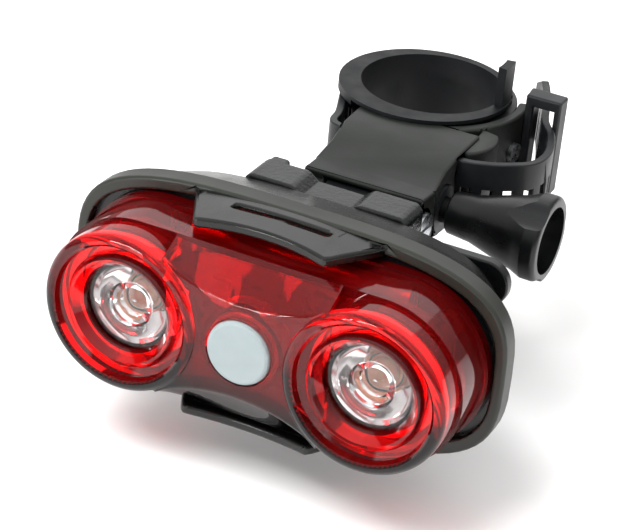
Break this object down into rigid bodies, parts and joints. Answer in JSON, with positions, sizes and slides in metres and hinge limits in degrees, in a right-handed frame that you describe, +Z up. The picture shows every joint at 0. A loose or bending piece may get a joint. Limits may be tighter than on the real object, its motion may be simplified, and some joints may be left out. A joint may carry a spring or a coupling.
{
  "type": "bicycle rear light",
  "caption": "Red twin-eye bicycle rear light with a push button, on a tilting slide-off bracket and a slotted band clamp tightened by a worm knob.",
  "frame": {"origin": "on the seat post's axis at the middle of the band's width", "axes": "+Z up along the seat post, -Y the way the light faces, +X towards the tightening knob"},
  "size_m": [0.0866, 0.1086, 0.0495],
  "materials": {
    "arm_plastic": "moulded black nylon, satin",
    "liner_rubber": "matt black rubber",
    "band_plastic": "moulded black nylon, soft sheen",
    "steel": "zinc-plated steel",
    "bush_plastic": "grey acetal",
    "knob_plastic": "polished black plastic",
    "rail_plastic": "moulded black plastic, glossy",
    "housing_plastic": "moulded dark grey plastic, satin",
    "seal_rubber": "matt black rubber",
    "red_lens": "clear red moulded plastic, polished",
    "clear_lens": "clear moulded plastic, polished",
    "plated_plastic": "vacuum-plated plastic",
    "led_resin": "clear resin",
    "board": "glass-fibre board with lacquer",
    "chip_plastic": "moulded black resin",
    "button_rubber": "pale grey silicone rubber, matt",
    "cell_wrap": "printed film over steel"
  },
  "bodies": {
    "clamp": {"bracket_arm": "arm_plastic", "post_liner": "liner_rubber", "clamp_band": "band_plastic", "band_keeper": "band_plastic", "band_rivet": "steel", "worm_bush": "bush_plastic", "pivot_screw": "steel", "pivot_nut": "steel"},
    "light": {"slide_plate": "arm_plastic", "slide_rail": "rail_plastic", "rail_screws": "steel", "rear_housing": "housing_plastic", "housing_seal": "seal_rubber", "lens": "red_lens", "left_optic": "clear_lens", "right_optic": "clear_lens", "left_reflector": "plated_plastic", "right_reflector": "plated_plastic", "left_led": "led_resin", "right_led": "led_resin", "circuit_board": "board", "board_parts": "chip_plastic", "board_screws": "steel", "tact_switch": "chip_plastic", "upper_cell": "cell_wrap", "lower_cell": "cell_wrap", "cell_plates": "steel", "cell_springs": "steel", "lever_pin": "steel"},
    "knob": {"tightening_knob": "knob_plastic", "worm_screw": "steel", "knob_screw": "steel"},
    "button": {"push_button": "button_rubber", "switch_plunger": "bush_plastic"},
    "lever": {"release_lever": "rail_plastic"}
  },
  "joints": [
    {"name": "knob_turn", "type": "hinge", "parent": "clamp", "child": "knob", "pos_m": [0, -0.0299, -0.0022], "axis": [1, 0, 0], "continuous": true},
    {"name": "light_tilt", "type": "hinge", "parent": "clamp", "child": "light", "pos_m": [0, -0.0403, -0.0016], "axis": [1, 0, 0], "range_deg": [-20, 20]},
    {"name": "button_press", "type": "slide", "parent": "light", "child": "button", "axis": [0, 1, 0], "range_m": [0, 0.001], "stiffness_N_per_m": 800},
    {"name": "lever_press", "type": "hinge", "parent": "light", "child": "lever", "pos_m": [0.021, -0.0511, -0.0024], "axis": [0, 0, 1], "range_deg": [0, 5.5], "stiffness_Nm_per_rad": 0.4}
  ]
}
